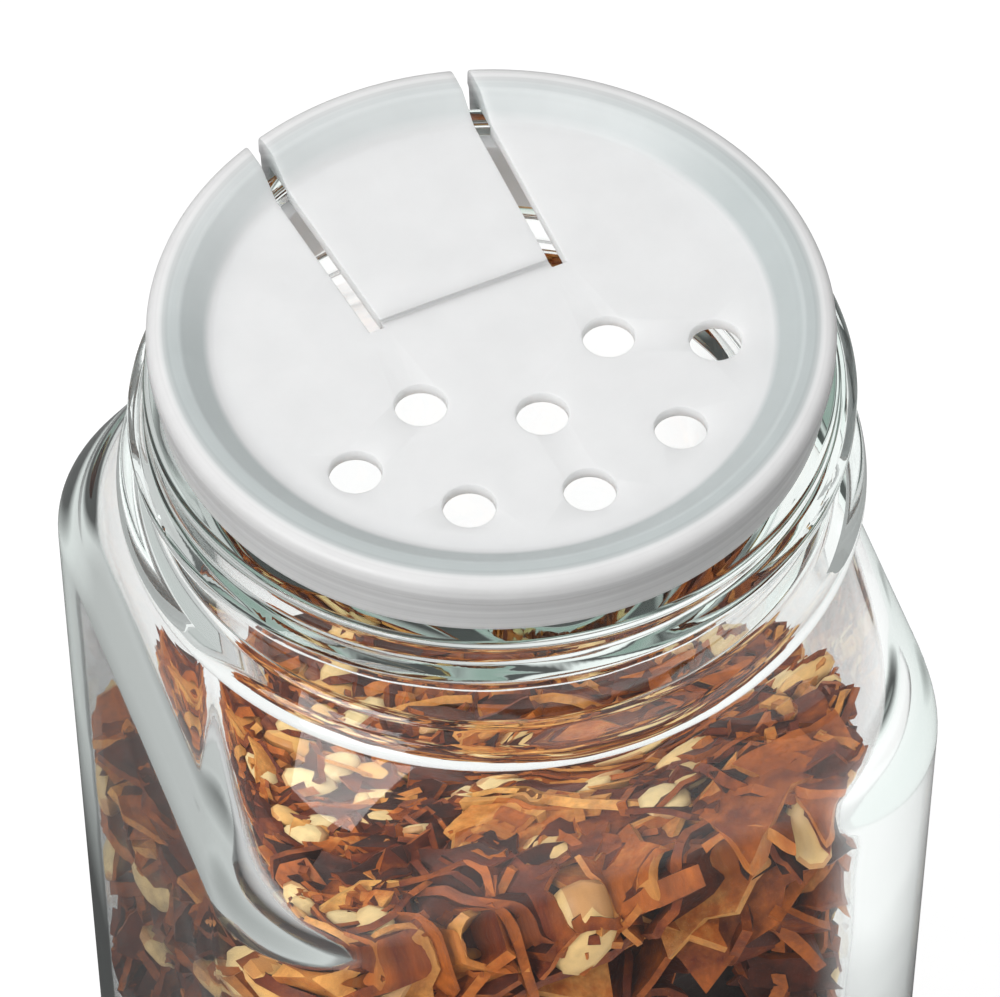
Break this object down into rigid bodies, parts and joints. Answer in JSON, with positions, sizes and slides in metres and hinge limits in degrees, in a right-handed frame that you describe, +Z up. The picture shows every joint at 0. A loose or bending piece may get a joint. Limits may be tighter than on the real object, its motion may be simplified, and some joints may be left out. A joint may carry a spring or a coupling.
{
  "type": "spice jar",
  "caption": "Square clear-glass spice jar with a screw neck, a snap-in shaker insert with sift holes and a hinged pour flap, filled with chilli flakes.",
  "frame": {"origin": "centre of the base, on the surface that the jar stands on", "axes": "+Z up along the neck, +X and +Y square to the flat sides, the pour flap opening at the +Y side"},
  "size_m": [0.0454, 0.0454, 0.1],
  "materials": {
    "glass": "clear pressed glass with a faint green-grey edge",
    "flakes": "dry crushed chilli with pale seeds",
    "insert": "frosted translucent polyethylene",
    "flap": "frosted translucent polyethylene"
  },
  "bodies": {
    "jar": {"glass_jar": "glass", "chilli_flakes": "flakes"},
    "insert": {"shaker_insert": "insert", "hinge_web": "insert"},
    "flap": {"pour_flap": "flap"}
  },
  "joints": [
    {"name": "insert_lift", "type": "slide", "parent": "jar", "child": "insert", "axis": [0, 0, 1], "range_m": [0, 0.03]},
    {"name": "flap_hinge", "type": "hinge", "parent": "insert", "child": "flap", "pos_m": [-0.00028, 0.00344, 0.0987], "axis": [0.9968, 0.0802, 0], "range_deg": [0, 110]}
  ]
}
